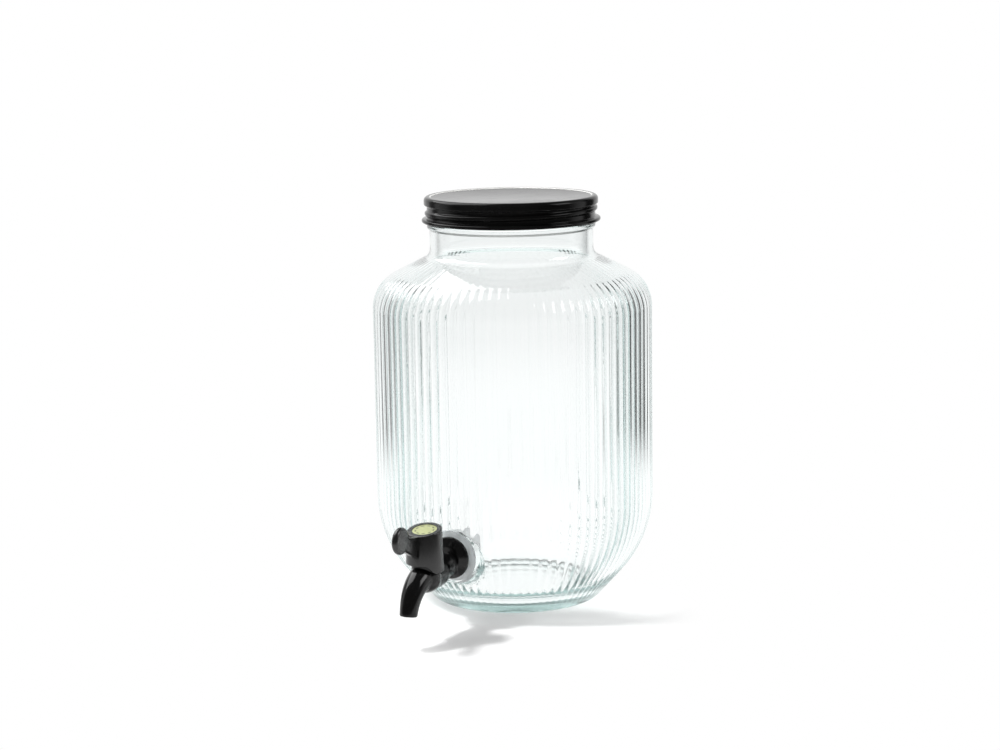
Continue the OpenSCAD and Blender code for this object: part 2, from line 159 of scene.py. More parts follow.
# Tap
tail_r = 7.9
tail_edge = 0.5
tail_pitch = 1.5
tail_thread = 0.5
tail_row = 0.3
tail_plain = 2
flange_r = 12.8
flange_rim = 1.8
flange_dome = 2.6
flange_hub_r = 8
flange_edge = 0.3
flange_rim_round = 1
flange_hub_round = 3
pipe_r = 6.5
pipe_flare = (8.4, 7.2, 6.7)
pipe_drop = 3.5
elbow_r = 8.4
elbow_y = barrel_y - 21.4
elbow_z = tap_z - 5
bulb_r = 9.2
bulb_low = tap_z - 13.4
bulb_top = tap_z - 0.45
bulb_round = 8
bulb_edge = 0.5
barrel_r = 8.2
barrel_top = tap_z + 14.2
barrel_edge = 0.4
ridge_low = tap_z + 8.6
ridge_high = tap_z + 10.2
ridge_h = 0.5
ridge_slope = 0.4
ridge_round = 0.2
melt_voxel = 0.4
melt_passes = 10
way_r = 3.2
port_r = 3
chamber_r = 6.2
chamber_low = tap_z - 10.4
port_z = tap_z - 6.4
spout_root = Vector((0, tap_z - 2.8))
spout_bend = Vector((18, tap_z - 4.6))
spout_tip = Vector((21.6, tap_z - 22.8))
spout_root_r = 8
spout_tip_r = 5.2
cap_low = tap_z - 0.1
cap_low_r = 11.4
cap_in_r = 8.55
cap_ceiling = tap_z + 14.55
cap_top = tap_z + 24.5
cap_top_r = 10.3
cap_slant = math.radians(11)
cap_edge = 0.5
cap_in_edge = 0.3
cap_lip = 0.6
cap_room = 0.8
cap_sunk = 0.3
skirt_rise = 4.5
skirt_ramp = 36
skirt_low_from = 334
skirt_low_to = 116
paddle_reach = 29
paddle_z = tap_z + 24.2
paddle_r = 7.99
paddle_t = 4
paddle_round = 1.9
web_t = 3.4
web_root = 9
web_root_drop = 0.4
web_drop = 16.2
web_end_drop = 6
web_end_rise = 2
web_waist = 16
web_waist_rise = 0.8
web_waist_round = 20
web_edge = 0.5
web_border = 0.8
web_slope = 0.4
web_sunk = 0.7
badge_r = 7.4
badge_sink = 0.3
badge_t = 0.5
badge_edge = 0.15
badge_crown = 0.1
badge_gap = 0.05
nut_flats = 25
nut_flange_t = 2
nut_edge = 0.6
nut_gap = 0.06
nut_flange_round = 0.8
nut_flange_edge = 0.3
outer_washer_edge = 0.4
inner_washer_edge = 0.5


# Shader nodes

class Value:
    """A shader socket that takes part in Python expressions; each operation adds a Math node."""

    def __init__(self, nodes, socket):
        self.nodes = nodes
        self.socket = socket

    def math(self, operation, other=0.0, swap=False):
        pair = (other, self) if swap else (self, other)
        return self.nodes.add("ShaderNodeMath", {"operation": operation}, {0: pair[0], 1: pair[1]})

    def __add__(self, other):
        return self.math("ADD", other)

    def __sub__(self, other):
        return self.math("SUBTRACT", other)

    def __rsub__(self, other):
        return self.math("SUBTRACT", other, swap=True)

    def __mul__(self, other):
        return self.math("MULTIPLY", other)

    def __truediv__(self, other):
        return self.math("DIVIDE", other)

    __radd__ = __add__
    __rmul__ = __mul__


class Nodes:
    """The node tree of one material or world."""

    def __init__(self, tree):
        self.tree = tree
        tree.nodes.clear()

    def add(self, kind, settings=None, inputs=None, out=0):
        """A node with its settings and its sockets' values or links; returns its output, if it has any."""
        node = self.tree.nodes.new(kind)
        for name, value in (settings or {}).items():
            if name == "stops":
                self.set_stops(node.color_ramp, value)
            else:
                setattr(node, name, value)
        for name, value in (inputs or {}).items():
            if isinstance(value, Value):
                self.tree.links.new(value.socket, node.inputs[name])
            else:
                node.inputs[name].default_value = value
        return Value(self, node.outputs[out]) if len(node.outputs) else None

    @staticmethod
    def set_stops(ramp, stops):
        while len(ramp.elements) < len(stops):
            ramp.elements.new(1)
        for element, (place, colour) in zip(ramp.elements, stops):
            element.position = place
            element.color = (*colour, 1)

    def split(self, vector):
        """The three numbers of a vector."""
        first = self.add("ShaderNodeSeparateXYZ", inputs={0: vector})
        return [Value(self, socket) for socket in first.socket.node.outputs]

    def place(self, kind="Object"):
        return self.add("ShaderNodeTexCoord", out=kind)

    def noise(self, scale, detail):
        return self.add("ShaderNodeTexNoise",
                        inputs={"Vector": self.place(), "Scale": scale, "Detail": detail})

    def ramp(self, factor, *stops):
        return self.add("ShaderNodeValToRGB", {"stops": stops}, {"Fac": factor})

    def mix(self, factor, low, high):
        return self.add("ShaderNodeMix", {"data_type": "RGBA"}, {0: factor, 6: low, 7: high}, out=2)

    def smooth(self, value, low, high):
        """A soft step from 0 at low to 1 at high."""
        return self.add("ShaderNodeMapRange", {"interpolation_type": "SMOOTHSTEP"},
                        {"Value": value, "From Min": low, "From Max": high})

    def bump(self, height, strength, distance):
        return self.add("ShaderNodeBump",
                        inputs={"Height": height, "Strength": strength, "Distance": distance})


def material(name):
    made = bpy.data.materials.new(name)
    made.use_nodes = True
    return made, Nodes(made.node_tree)


def surface(n, **shaders):
    n.add("ShaderNodeOutputMaterial", inputs=shaders)


def clear_glass():
    """Wavy pressed glass. Its shadow is faint, apart from a band near its outline and its thick base."""
    band_start = (0.53, 0.62)
    band_end = (0.66, 0.78)
    base_heights = (0.03, 0.002)
    made, n = material("clear_pressed_glass")
    waves = n.noise(28, 2)
    grain = n.noise(420, 2)
    smears = n.noise(14, 4)
    shadow = n.add("ShaderNodeLightPath", out="Is Shadow Ray")
    away = n.add("ShaderNodeLayerWeight", inputs={"Blend": 0.5}, out="Facing")
    band = n.smooth(away, *band_start) * (1 - n.smooth(away, *band_end) * 0.85)
    base = n.smooth(n.split(n.place())[2], *base_heights)
    shade = band * 0.9 + base * 0.15 + 0.02
    shader = n.add("ShaderNodeBsdfPrincipled", inputs={
        "Base Color": n.ramp(smears, (0.3, (0.985, 0.995, 0.993)), (0.7, (1.0, 1.0, 1.0))),
        "Roughness": n.smooth(smears, 0.62, 0.9) * 0.03,
        "IOR": 1.5,
        "Transmission Weight": 1.0,
        "Alpha": 1 - shadow * (1 - shade),
        "Normal": n.bump(waves * 0.9 + grain * 0.1, 0.05, 0.0006),
    })
    tint = n.add("ShaderNodeVolumeAbsorption", inputs={"Color": (0.30, 0.78, 0.74, 1), "Density": 5})
    surface(n, Surface=shader, Volume=tint)
    return made


def lacquered_steel(name, dark, light, gloss):
    """Smooth lacquer with a faint orange peel, a little rubbed in patches."""
    made, n = material(name)
    peel = n.noise(900, 2)
    rub = n.noise(45, 5)
    shader = n.add("ShaderNodeBsdfPrincipled", inputs={
        "Base Color": n.ramp(rub, (0.35, dark), (0.75, light)),
        "Roughness": 0.1 + n.smooth(rub, 0.3, 0.8) * 0.06,
        "Specular IOR Level": gloss,
        "Normal": n.bump(peel, 0.1, 0.0001),
    })
    surface(n, Surface=shader)
    return made


def moulded_plastic(name, dark, light, rough, spread, gloss):
    """A moulded plastic with faint flow marks and a little handling wear in its gloss."""
    made, n = material(name)
    flow = n.noise(60, 4)
    touch = n.noise(240, 3)
    shader = n.add("ShaderNodeBsdfPrincipled", inputs={
        "Base Color": n.ramp(flow, (0.3, dark), (0.75, light)),
        "Roughness": rough + n.smooth(touch, 0.35, 0.75) * spread,
        "Specular IOR Level": gloss,
        "Normal": n.bump(flow * 0.9 + touch * 0.1, 0.025, 0.0002),
    })
    surface(n, Surface=shader)
    return made


def soft_rubber(name, dark, light):
    """A dull rubber with a fine grain and a patchy bloom."""
    made, n = material(name)
    grain = n.noise(1600, 2)
    bloom = n.noise(120, 4)
    shader = n.add("ShaderNodeBsdfPrincipled", inputs={
        "Base Color": n.ramp(bloom, (0.3, dark), (0.75, light)),
        "Roughness": 0.5 + bloom * 0.2,
        "Normal": n.bump(grain, 0.2, 0.0001),
    })
    surface(n, Surface=shader)
    return made


def gold_foil(centre):
    """Pale gold foil with a plain dark ring of short dashes."""
    dash_count = 9
    ring_r = 0.74
    foil_metal = 0.35
    made, n = material("pale_gold_foil")
    local = n.add("ShaderNodeMapping", {"vector_type": "TEXTURE"},
                  {"Vector": n.place(), "Location": centre, "Rotation": (cap_slant, 0, 0)})
    x, y, _ = n.split(local)
    radius = (x * x + y * y).math("SQRT") / (badge_r * mm)
    ring = n.smooth((radius - ring_r).math("ABSOLUTE"), 0.07, 0.04)
    dashes = n.smooth((y.math("ARCTAN2", x) * dash_count).math("SINE"), -0.2, 0.1)
    ink = ring * dashes
    brush = n.noise(900, 3)
    foil = n.ramp(brush, (0.3, (0.44, 0.46, 0.21)), (0.7, (0.53, 0.56, 0.31)))
    shader = n.add("ShaderNodeBsdfPrincipled", inputs={
        "Base Color": n.mix(ink, foil, (0.02, 0.02, 0.015, 1)),
        "Metallic": foil_metal - ink * foil_metal,
        "Roughness": 0.32 + brush * 0.15,
        "Normal": n.bump(brush, 0.1, 0.00005),
    })
    surface(n, Surface=shader)
    return made


# Mesh helpers

def ramp_up(value, low, high):
    share = min(1, max(0, (value - low) / (high - low)))
    return share * share * (3 - 2 * share)


def rounded(*corners):
    """Outline points of (x, z) corners, where a corner with a third number is rounded by that radius."""
    points = []
    for i, corner in enumerate(corners):
        here = Vector(corner[:2])
        if len(corner) == 2:
            points.append(here)
            continue
        back = Vector(corners[i - 1][:2]) - here
        on = Vector(corners[(i + 1) % len(corners)][:2]) - here
        half = back.angle(on) / 2
        reach = min(corner[2] / math.tan(half), back.length * 0.98, on.length * 0.98)
        back.normalize()
        on.normalize()
        centre = here + (back + on).normalized() * reach / math.cos(half)
        start = here + back * reach - centre
        turn = (math.pi - 2 * half) * (-1 if back.cross(on) > 0 else 1)
        step = max(arc_step, 2 * math.acos(1 - min(1, arc_sag / corner[2])))
        steps = max(2, math.ceil(abs(turn) / min(arc_step_most, step)))
        points += [centre + Matrix.Rotation(turn * k / steps, 2) @ start for k in range(steps + 1)]
    return points


def spaced(points, low, high, gap):
    """The outline with extra points, no further apart than gap between heights low and high."""
    made = [points[0]]
    for a, b in zip(points, points[1:]):
        inside = low < (a.y + b.y) / 2 < high
        parts = math.ceil((b - a).length / gap) if inside else 1
        made += [a.lerp(b, k / parts) for k in range(1, parts + 1)]
    return made


def verts_of(geometry):
    return [item for item in geometry if isinstance(item, bmesh.types.BMVert)]


def turned(outline, steps, closed=False):
    """A solid of revolution about Z: one sector is spun, then doubled until it closes."""
    bm = bmesh.new()
    verts = [bm.verts.new((x * mm, 0, z * mm)) for x, z in outline]
    edges = [bm.edges.new(pair) for pair in zip(verts, verts[1:] + verts[:1] if closed else verts[1:])]
    sectors = math.gcd(steps, 16)
    turn = full_turn / sectors
    bmesh.ops.spin(bm, geom=verts + edges, cent=(0, 0, 0), axis=(0, 0, 1), angle=turn,
                   steps=steps // sectors)
    while turn < 0.99 * full_turn:
        copy = bmesh.ops.duplicate(bm, geom=bm.verts[:] + bm.edges[:] + bm.faces[:])["geom"]
        bmesh.ops.rotate(bm, verts=verts_of(copy), cent=(0, 0, 0), matrix=Matrix.Rotation(turn, 3, "Z"))
        turn *= 2
    bmesh.ops.remove_doubles(bm, verts=bm.verts, dist=1e-6)
    bmesh.ops.recalc_face_normals(bm, faces=bm.faces)
    return bm


def placed(bm, matrix):
    bmesh.ops.transform(bm, matrix=matrix, verts=bm.verts)
    return bm


def laid(height, forward=0):
    """Matrix that lays an upright shape along the tap."""
    return Matrix.Translation((0, -forward * mm, height * mm)) @ Matrix.Rotation(quarter_turn, 4, "X")


def along_tap(outline, steps=96, height=tap_z, closed=False):
    """A solid of revolution along the tap, from an outline of radius and distance from the jar's axis."""
    return placed(turned(outline, steps, closed), laid(height))


def at_barrel(outline):
    return placed(turned(outline, 96), Matrix.Translation((0, -barrel_y * mm, 0)))


def bar(radius, start, end):
    return [Vector((0, start)), Vector((radius, start)), Vector((radius, end)), Vector((0, end))]


def eased(bm, edges, width, segments):
    bmesh.ops.bevel(bm, geom=edges, offset=width * mm, offset_type="OFFSET", segments=segments,
                    profile=0.5, affect="EDGES", material=-1)


def ring_place(forward, height, direction, radius):
    """Matrix of a circle of that radius in front of the barrel, square to a direction of (forward, up)."""
    ahead = Vector((0, -direction.x, direction.y)).normalized()
    side = Vector((1, 0, 0))
    basis = Matrix((side, ahead.cross(side), ahead)).transposed().to_4x4()
    place = Matrix.Translation(Vector((0, -barrel_y - forward, height)) * mm)
    return place @ basis @ Matrix.Scale(radius * mm, 4)


def swept(stations, sides=48):
    """A tube through stations of (forward, height, direction, radius), with closed ends."""
    bm = bmesh.new()
    last = ring_place(*stations[0])
    bmesh.ops.create_circle(bm, segments=sides, radius=1, matrix=last)
    edges = bm.edges[:]
    for station in stations[1:]:
        place = ring_place(*station)
        made = bmesh.ops.extrude_edge_only(bm, edges=edges)["geom"]
        bmesh.ops.transform(bm, matrix=place @ last.inverted(), verts=verts_of(made))
        edges = [e for e in made if isinstance(e, bmesh.types.BMEdge) and e.is_boundary]
        last = place
    bmesh.ops.holes_fill(bm, edges=[e for e in bm.edges if e.is_boundary])
    bmesh.ops.recalc_face_normals(bm, faces=bm.faces)
    return bm


def scratch(bm):
    mesh = bpy.data.meshes.new("scratch")
    bm.to_mesh(mesh)
    bm.free()
    obj = bpy.data.objects.new("scratch", mesh)
    bpy.context.scene.collection.objects.link(obj)
    return obj


def evaluated(obj, others=()):
    """The mesh of a scratch object with its modifiers, as a bmesh. The scratch objects are removed."""
    bpy.context.view_layer.update()
    graph = bpy.context.evaluated_depsgraph_get()
    mesh = bpy.data.meshes.new_from_object(obj.evaluated_get(graph))
    bm = bmesh.new()
    bm.from_mesh(mesh)
    bpy.data.meshes.remove(mesh)
    for used in (obj, *others):
        data = used.data
        bpy.data.objects.remove(used)
        bpy.data.meshes.remove(data)
    return bm


def combined(base, *steps):
    """base after each (operation, tool) of steps."""
    body = scratch(base)
    tools = []
    for operation, tool in steps:
        tools.append(scratch(tool))
        cut = body.modifiers.new(operation, "BOOLEAN")
        cut.solver = "MANIFOLD"
        cut.operation = operation
        cut.object = tools[-1]
    return evaluated(body, tools)


def melted(*parts):
    """Overlapping closed parts as one skin, with its inner corners filled smooth."""
    whole = bmesh.new()
    for part in parts:
        mesh = bpy.data.meshes.new("part")
        part.to_mesh(mesh)
        part.free()
        whole.from_mesh(mesh)
        bpy.data.meshes.remove(mesh)
    body = scratch(whole)
    remesh = body.modifiers.new("melt", "REMESH")
    remesh.mode = "VOXEL"
    remesh.voxel_size = melt_voxel * mm
    bm = evaluated(body)
    for _ in range(melt_passes):
        bmesh.ops.smooth_vert(bm, verts=bm.verts, factor=0.5,
                              use_axis_x=True, use_axis_y=True, use_axis_z=True)
    return bm


def piece(bm, name, finish, body, node, crease=40):
    """A finished piece that stands for a solid and rides on its body."""
    bmesh.ops.recalc_face_normals(bm, faces=bm.faces)
    for face in bm.faces:
        face.smooth = True
    for edge in bm.edges:
        edge.smooth = edge.calc_face_angle(0) < math.radians(crease)
    mesh = bpy.data.meshes.new(name)
    bm.to_mesh(mesh)
    bm.free()
    mesh.materials.append(finish)
    obj = bpy.data.objects.new(name, mesh)
    bpy.context.scene.collection.objects.link(obj)
    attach(obj, body)
    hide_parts(node)
    return obj


# Jar

def thread_share(angle, height, first, last, half):
    """How far a point at that angle and height lies on a thread between two turns, from 0 to 1."""
    share = 0
    for turn in range(math.floor(first), math.ceil(last) + 1):
        t = turn + angle / full_turn
        if first <= t <= last:
            off = abs(height - thread_z - thread_pitch * t)
            ends = min(1, (t - first) / thread_end, (last - t) / thread_end)
            share = max(share, ramp_up(-off, -half[0], -half[1]) * ends)
    return share


def jar_outside():
    outline = rounded(
        (0, punt_h), (punt_r, punt_rim_h, punt_round), (punt_r + punt_slope, 0, punt_edge),
        (foot_r, 0, foot_round), (jar_r, heel_h, heel_round), (jar_r, shoulder_z, shoulder_round),
        (neck_r, neck_z, neck_round), (neck_r, bead_z - bead_foot, bead_hollow),
        (neck_r + bead_r, bead_z - bead_flat, bead_round), (neck_r + bead_r, bead_z + bead_flat, bead_round),
        (neck_r, bead_z + bead_foot, bead_hollow), (neck_r, jar_h - glass_gap, rim_round),
        (0, jar_h - glass_gap))
    outline = spaced(outline, *ribs_span, rib_row)
    outline = spaced(outline, bead_z + 2 * bead_r, jar_h - rim_round, thread_row)
    bm = turned(outline, rib_count * rib_steps)
    for v in bm.verts:
        r = math.hypot(v.co.x, v.co.y) / mm
        z = v.co.z / mm
        if r < foot_r / 2:
            continue
        angle = math.atan2(v.co.y, v.co.x) % full_turn
        ribbed = ramp_up(r, *heel_ribs) if z < jar_h / 2 else ramp_up(r, *shoulder_ribs)
        wave = math.sqrt(math.cos(angle * rib_count / 2) ** 2 + rib_soften) / math.sqrt(1 + rib_soften)
        grow = -rib_depth * ribbed * (1 - wave)
        if z > bead_z and abs(r - neck_r) < 2 * near_skin:
            grow += thread_h * thread_share(angle, z, 0, thread_turns, thread_half)
        v.co.xy *= (r + grow) / r
    return bm


def jar_inside():
    """The room in the jar, which ends above the open mouth."""
    above = jar_h + 3
    heel_tilt = math.atan2(jar_r - foot_r, heel_h)
    shoulder_tilt = math.atan2(jar_r - neck_r, shoulder_rise)
    heel_z = heel_h + glass_wall * math.tan(heel_tilt / 2)
    shift = glass_wall * math.tan(shoulder_tilt / 2)
    inner_r = jar_r - glass_wall
    mouth_r = neck_r - glass_wall
    floor_r = inner_r - (heel_z - floor_t) * math.tan(heel_tilt)
    outline = rounded(
        (0, floor_t + floor_dome), (floor_r, floor_t, floor_round),
        (inner_r, heel_z, heel_round - glass_wall),
        (inner_r, shoulder_z - shift, shoulder_round - glass_wall), (mouth_r, neck_z - shift, mouth_round),
        (mouth_r, jar_h, rim_round), (neck_r - rim_flat, jar_h), (neck_r - rim_flat, above), (0, above))
    return turned(outline, 240)


def ribbed_jar():
    boss_start = seat_y - boss_depth
    boss = rounded((0, boss_start), (seat_r + boss_depth * math.tan(seat_draft), boss_start),
                   (seat_r, seat_y, seat_round), (0, seat_y))
    return combined(
        jar_outside(), ("UNION", along_tap(boss, 128)), ("DIFFERENCE", jar_inside()),
        ("DIFFERENCE", along_tap(bar(recess_r, recess_start, glass_in_y))),
        ("DIFFERENCE", along_tap(bar(hole_r, recess_start + 10, seat_y + 5))))


# Lid

def screw_lid():
    band_z = lid_top - lid_band
    land_z = band_z - band_step
    flare_z = lid_low + 2 * curl_r
    flare_r = curl_out_r - 2 * curl_r
    sheet = lid_sheet
    outside = rounded(
        (0, lid_top - panel_sink), (panel_r, lid_top - panel_sink, panel_rounds[0]),
        (panel_r + panel_step, lid_top, panel_rounds[1]), (lid_r, lid_top, lid_round),
        (lid_r, band_z, band_round), (land_r, land_z, band_round), (land_r, flare_z + flare_rise, flare_rise),
        (curl_out_r, flare_z, curl_r), (curl_out_r, lid_low, curl_r), (flare_r, lid_low, curl_r),
        (flare_r, flare_z - sheet))
    inside = rounded(
        (land_r - sheet, flare_z + hem_rise), (land_r - sheet, land_z), (lid_r - sheet, band_z),
        (lid_r - sheet, lid_top - sheet, lid_round - sheet), (panel_r + panel_step, lid_top - sheet),
        (panel_r, lid_top - panel_sink - sheet), (0, lid_top - panel_sink - sheet))
    skirt = (flare_z + roll_rise, land_z)
    bm = turned(spaced(outside, *skirt, roll_row) + spaced(inside, *skirt, roll_row), 288)
    for v in bm.verts:
        r = math.hypot(v.co.x, v.co.y) / mm
        z = v.co.z / mm
        on_land = min(abs(r - land_r), abs(r - land_r + sheet)) < near_skin
        if not (skirt[0] < z < skirt[1] and on_land):
            continue
        angle = math.atan2(v.co.y, v.co.x) % full_turn
        ends = min(1, (z - skirt[0]) / roll_fade, (skirt[1] - z) / roll_fade)
        v.co.xy *= (r + roll_h * ends * thread_share(angle, z, *roll_turns, roll_half)) / r
    return bm


def line_inside(lid, finish):
    """Gives the inner side of the lid, above its rolled edge, its own lacquer."""
    lid.data.materials.append(finish)
    for face in lid.data.polygons:
        inward = face.normal.xy.dot(face.center.xy.normalized()) < -0.3
        under = face.normal.z < -0.7 and face.center.xy.length < (land_r - lid_sheet / 2) * mm
        if (inward or under) and face.center.z > (lid_low + 2 * curl_r) * mm:
            face.material_index = 1


# Tap

def spout_line(start, t):
    """Place and direction on the spout's middle line, t from 0 in the barrel to 1 at the tip."""
    place = start * (1 - t) ** 2 + spout_bend * 2 * t * (1 - t) + spout_tip * t * t
    direction = (spout_bend - start) * (1 - t) + (spout_tip - spout_bend) * t
    return place, direction


def spout_tube(start, r0, r1, end=1.0, parts=24):
    stations = []
    for k in range(parts + 1):
        t = end * k / parts
        place, direction = spout_line(start, t)
        stations.append((place.x, place.y, direction, r0 + (r1 - r0) * t))
    return swept(stations)


def straight_tube(start, end, *radii):
    """A tube between two (forward, height) points, through evenly spaced radii."""
    stations = []
    for k, radius in enumerate(radii):
        place = start.lerp(end, k / (len(radii) - 1))
        stations.append((place.x, place.y, end - start, radius))
    return swept(stations)


def tap_horn():
    """Bulb, pipe, elbow and spout in one smooth skin, with room for the handle over the elbow."""
    pipe_start = Vector((flange_y - barrel_y + flange_rim, tap_z - pipe_drop))
    pipe_end = Vector((elbow_y + elbow_r - barrel_y, elbow_z))
    bulb = at_barrel(rounded(
        (0, bulb_low), (bulb_r, bulb_low, bulb_round), (bulb_r, bulb_top, bulb_edge), (0, bulb_top)))
    pipe = straight_tube(pipe_start, pipe_end, *pipe_flare, *[pipe_r] * 4)
    elbow = along_tap(rounded(
        (0, elbow_y), (elbow_r, elbow_y, elbow_r), (elbow_r, barrel_y), (0, barrel_y)), 72, elbow_z)
    room = at_barrel(bar(cap_low_r + cap_room, bulb_top - cap_sunk, bulb_top + elbow_r))
    spout = spout_tube(spout_root, spout_root_r, spout_tip_r)
    return melted(bulb, pipe, combined(elbow, ("DIFFERENCE", room)), spout)


def tap_tail():
    """The tail with its fine thread, which leaves a plain length at the flange."""
    plain_y = flange_y - tail_plain
    tail = along_tap(spaced(rounded(
        (0, tail_end_y), (tail_r, tail_end_y, tail_edge), (tail_r, flange_y + 1), (0, flange_y + 1)),
        tail_end_y + 2 * tail_row, plain_y, tail_row), 72)
    for v in tail.verts:
        out = Vector((v.co.x, v.co.z - tap_z * mm))
        along = -v.co.y / mm
        if abs(out.length / mm - tail_r) < near_skin and along < plain_y:
            phase = (along / tail_pitch - math.atan2(out.y, out.x) / full_turn) % 1
            shrink = 1 - tail_thread * abs(2 * phase - 1) / tail_r
            v.co.x *= shrink
            v.co.z = tap_z * mm + out.y * shrink
    return tail


def tap_casting():
    hub_y = flange_y + flange_rim + flange_dome
    flange = along_tap(rounded(
        (0, flange_y), (flange_r, flange_y, flange_edge), (flange_r, flange_y + flange_rim, flange_rim_round),
        (flange_hub_r, hub_y, flange_hub_round), (0, hub_y)), 128)
    ridge_r = barrel_r + ridge_h
    barrel = at_barrel(rounded(
        (0, bulb_low + bulb_round), (barrel_r, bulb_low + bulb_round), (barrel_r, ridge_low),
        (ridge_r, ridge_low + ridge_slope, ridge_round), (ridge_r, ridge_high - ridge_slope, ridge_round),
        (barrel_r, ridge_high), (barrel_r, barrel_top, barrel_edge), (0, barrel_top)))
    inlet = Vector((glass_in_y - barrel_y, tap_z))
    port = Vector((0, port_z))
    return combined(
        tap_horn(), ("UNION", flange), ("UNION", barrel), ("UNION", tap_tail()),
        ("DIFFERENCE", along_tap(bar(way_r, tail_end_y - 3, glass_in_y + 1), 48)),
        ("DIFFERENCE", straight_tube(inlet, port, port_r, port_r)),
        ("DIFFERENCE", at_barrel(bar(chamber_r, chamber_low, barrel_top + 2))),
        ("DIFFERENCE", spout_tube(port, way_r, way_r, 1.05)))


def slanted_top(lift=0):
    """Matrix of the handle's slanted top, with Z out of it."""
    return (Matrix.Translation((0, -barrel_y * mm, cap_top * mm)) @ Matrix.Rotation(cap_slant, 4, "X")
            @ Matrix.Translation((0, 0, lift * mm)))


def handle_cap():
    """The hollow cap, with a slanted top and a notch in its skirt that clears the spout's root as it turns."""
    taper = (cap_low_r - cap_top_r) / (cap_top - cap_low)
    tall = cap_top + 9
    bm = turned(rounded(
        (0, cap_ceiling), (cap_in_r, cap_ceiling, cap_edge), (cap_in_r, cap_low, cap_in_edge),
        (cap_low_r, cap_low, cap_edge), (cap_low_r - taper * (tall - cap_low), tall), (0, tall)), 180)
    for v in bm.verts:
        degrees = math.degrees(math.atan2(v.co.y, v.co.x)) % 360
        raised = min(ramp_up(skirt_low_from - degrees, 0, skirt_ramp),
                     ramp_up(degrees - skirt_low_to, 0, skirt_ramp))
        if v.co.z < (cap_low + 1) * mm:
            v.co.z += skirt_rise * raised * mm
    placed(bm, Matrix.Translation((0, -barrel_y * mm, 0)))
    top = slanted_top()
    bmesh.ops.bisect_plane(bm, geom=bm.verts[:] + bm.edges[:] + bm.faces[:], dist=1e-7,
                           plane_co=top.translation, plane_no=top.col[2].xyz, clear_outer=True)
    lip = [e for e in bm.edges if e.is_boundary]
    bmesh.ops.holes_fill(bm, edges=lip)
    eased(bm, lip, cap_lip, 4)
    return bm


def handle_web():
    """The flat web between cap and paddle, with a sunk panel on both sides."""
    cap_front = cap_top - cap_top_r * math.tan(cap_slant)
    outline = rounded(
        (web_root, cap_front - web_root_drop), (web_root, paddle_z - web_drop),
        (paddle_reach - 1, paddle_z - web_end_drop), (paddle_reach, paddle_z + web_end_rise),
        (web_waist, cap_front + web_waist_rise, web_waist_round))
    bm = bmesh.new()
    verts = [bm.verts.new((-web_t / 2 * mm, -(barrel_y + u) * mm, z * mm)) for u, z in outline]
    near = bm.faces.new(verts)
    far = verts_of(bmesh.ops.extrude_face_region(bm, geom=[near])["geom"])
    bmesh.ops.translate(bm, vec=(web_t * mm, 0, 0), verts=far)
    bmesh.ops.recalc_face_normals(bm, faces=bm.faces)
    sides = [f for f in bm.faces if abs(f.normal.x) > 0.9]
    eased(bm, list({e for f in sides for e in f.edges}), web_edge, 3)
    sides = sorted((f for f in bm.faces if abs(f.normal.x) > 0.99), key=lambda f: -f.calc_area())[:2]
    bmesh.ops.inset_individual(bm, faces=sides, thickness=web_border * mm, depth=0)
    bmesh.ops.inset_individual(bm, faces=sides, thickness=web_slope * mm, depth=-web_sunk * mm)
    return bm


def handle_lever():
    paddle = turned(rounded(
        (0, -paddle_t / 2), (paddle_r, -paddle_t / 2, paddle_round), (paddle_r, paddle_t / 2, paddle_round),
        (0, paddle_t / 2)), 96)
    placed(paddle, Matrix.Translation((0, -(barrel_y + paddle_reach) * mm, paddle_z * mm))
           @ Matrix.Rotation(quarter_turn, 4, "Y"))
    seat = placed(turned(bar(badge_r + badge_gap, -badge_t - badge_sink, 3), 96), slanted_top())
    return combined(handle_cap(), ("UNION", handle_web()), ("UNION", paddle), ("DIFFERENCE", seat))


def badge():
    disc = turned(rounded(
        (0, 0), (badge_r, 0), (badge_r, badge_t, badge_edge), (0, badge_t + badge_crown)), 96)
    return placed(disc, slanted_top(-badge_t - badge_sink))


def flat_ring(inner, outer, start, end, edge):
    return along_tap(rounded(
        (inner, start, edge), (outer, start, edge), (outer, end, edge), (inner, end, edge)), closed=True)


def back_nut():
    """A hexagon nut with a round collar towards the glass."""
    hexagon = bmesh.new()
    bmesh.ops.create_circle(hexagon, cap_ends=True, segments=6, radius=nut_flats / math.sqrt(3) * mm,
                            matrix=laid(tap_z, nut_end_y))
    far = verts_of(bmesh.ops.extrude_face_region(hexagon, geom=hexagon.faces[:])["geom"])
    bmesh.ops.translate(hexagon, vec=(0, -(nut_y - nut_end_y - nut_flange_t / 2) * mm, 0), verts=far)
    bmesh.ops.recalc_face_normals(hexagon, faces=hexagon.faces)
    eased(hexagon, hexagon.edges[:], nut_edge, 3)
    collar_y = nut_y - nut_flange_t
    collar = along_tap(rounded(
        (0, collar_y), (nut_flange_r, collar_y, nut_flange_round), (nut_flange_r, nut_y, nut_flange_edge),
        (0, nut_y)))
    bore = along_tap(bar(tail_r + nut_gap, nut_end_y - 2, nut_y + 2))
    return combined(hexagon, ("UNION", collar), ("DIFFERENCE", bore))


# Pieces

